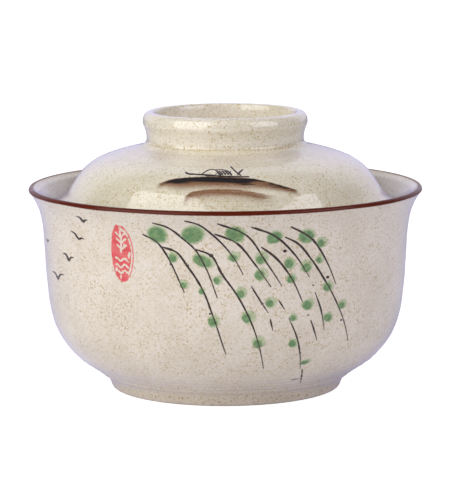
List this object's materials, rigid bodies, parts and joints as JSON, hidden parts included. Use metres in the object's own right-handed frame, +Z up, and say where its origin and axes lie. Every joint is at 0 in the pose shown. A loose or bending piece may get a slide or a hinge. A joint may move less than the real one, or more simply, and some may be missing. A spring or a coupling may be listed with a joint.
{
  "type": "lidded rice bowl",
  "caption": "Rice bowl on a low foot ring with a flared lip, and a domed lid that drops inside the lip and lifts by a tall ring; speckled glaze painted with willow branches.",
  "frame": {"origin": "centre of the foot ring at the table, on the bowl's axis", "axes": "+Z up along the axis of bowl and lid; -Y is the painted front, +X to the right seen from the front"},
  "size_m": [0.165, 0.165, 0.1162],
  "materials": {
    "bowl_glaze": "speckled cream glaze, glossy",
    "lid_glaze": "speckled straw glaze, glossy",
    "iron_rim": "iron brown line on the lip, glossy",
    "bare_clay": "unglazed stoneware, matt",
    "ink_line": "brush-drawn dark line under the glaze",
    "leaf_green": "green brush dabs under the glaze",
    "seal_red": "red stamped mark under the glaze",
    "brown_wash": "brown brush wash under the glaze"
  },
  "bodies": {
    "bowl": {"bowl": "bowl_glaze"},
    "lid": {"lid": "lid_glaze"}
  },
  "joints": [
    {"name": "lid_lift", "type": "slide", "parent": "bowl", "child": "lid", "axis": [0, 0, 1], "range_m": [0, 0.12]}
  ]
}
